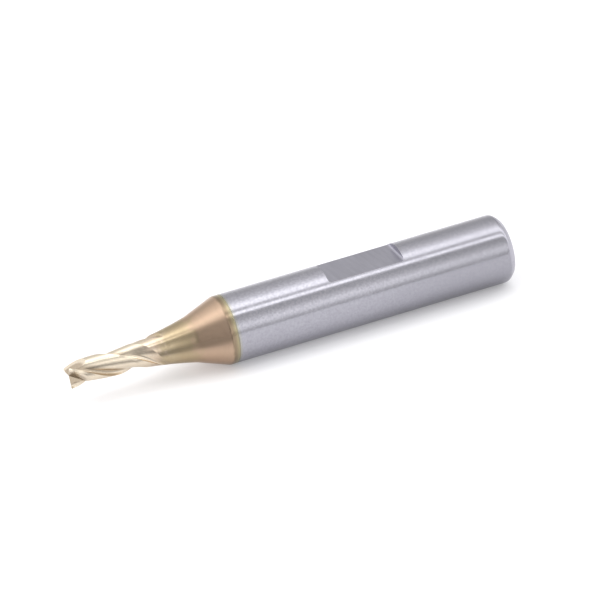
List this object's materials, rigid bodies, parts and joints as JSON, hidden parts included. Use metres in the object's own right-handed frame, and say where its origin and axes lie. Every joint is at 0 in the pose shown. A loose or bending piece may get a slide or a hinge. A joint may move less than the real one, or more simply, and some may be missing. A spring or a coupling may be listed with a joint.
{
  "type": "end mill",
  "caption": "Square end mill with helical flutes, a coated cutting head that flares through a cone into a plain ground shank, and a clamping flat on the shank.",
  "frame": {"origin": "under the middle of the tool's length, on the surface that the shank lies on", "axes": "+X along the tool's axis from the cutting end to the rear of the shank, +Z out of the shank flat, tool axis at half the shank diameter above the origin"},
  "size_m": [0.0534, 0.008, 0.008],
  "materials": {
    "ground_steel": "fine cylindrical grinding, satin, with a duller cross-ground flat",
    "bronze_coating": "thin glossy bronze-coloured hard coating over ground carbide, olive-yellow at its edge",
    "braze_alloy": "silver braze alloy, ground flush"
  },
  "bodies": {
    "root": {"shank": "ground_steel", "cutting_head": "bronze_coating", "braze_joint": "braze_alloy"}
  },
  "joints": []
}
